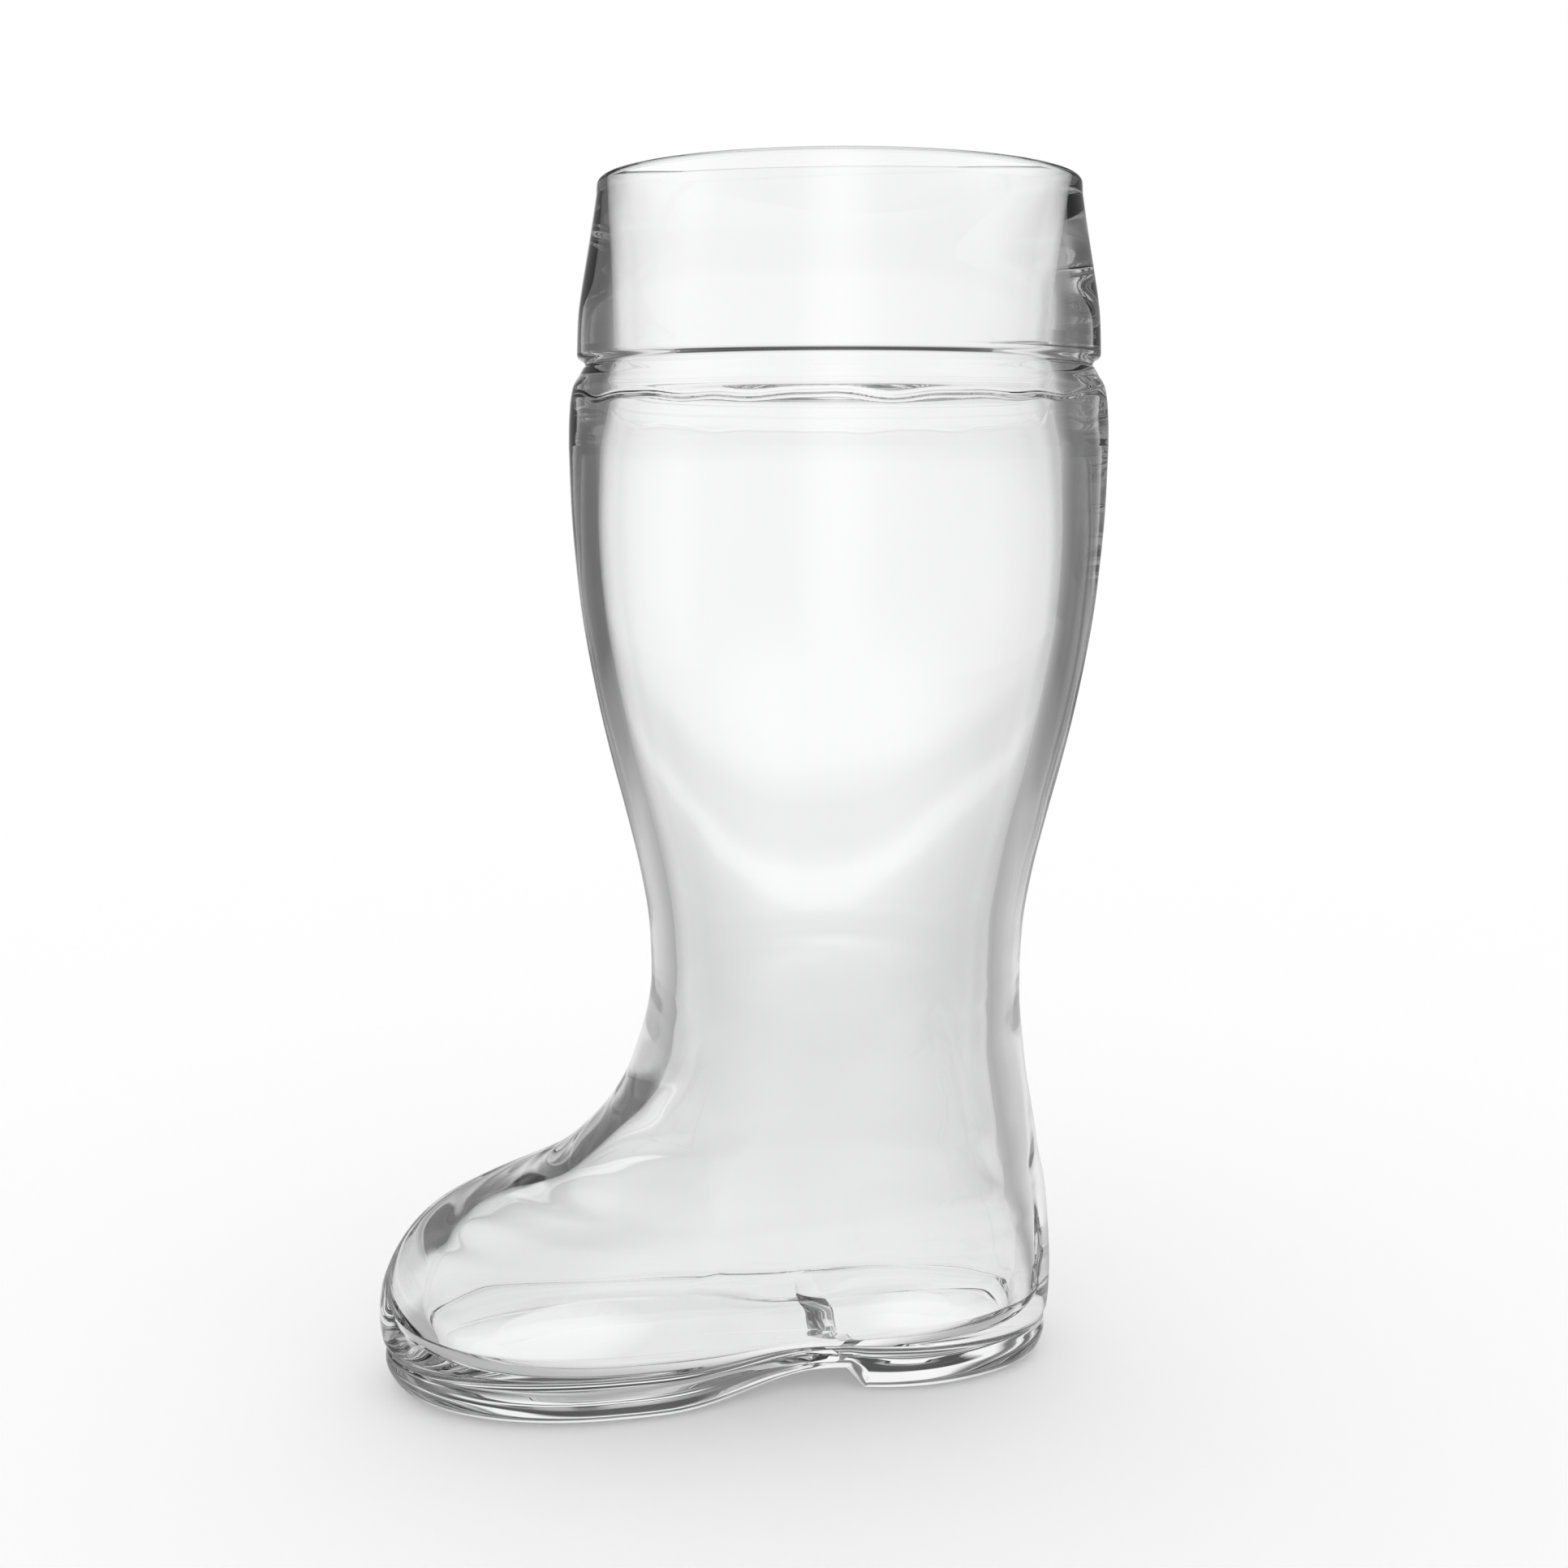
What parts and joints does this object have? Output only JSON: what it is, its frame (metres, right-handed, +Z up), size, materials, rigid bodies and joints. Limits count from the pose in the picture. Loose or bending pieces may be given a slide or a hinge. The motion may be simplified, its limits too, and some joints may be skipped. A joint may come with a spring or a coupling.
{
  "type": "beer boot glass",
  "caption": "Clear drinking glass in the shape of a boot, with a wide cuff, a hollow leg and foot, and a low heel, standing on its flat sole.",
  "frame": {"origin": "on the table, under the middle of the boot's bounding box", "axes": "+Z up along the leg, the toe towards -X, Y across the foot; the boot is alike on both sides of the plane y = 0"},
  "size_m": [0.1534, 0.1098, 0.25],
  "materials": {
    "glass": "clear, polished"
  },
  "bodies": {
    "root": {"boot_glass": "glass"}
  },
  "joints": []
}
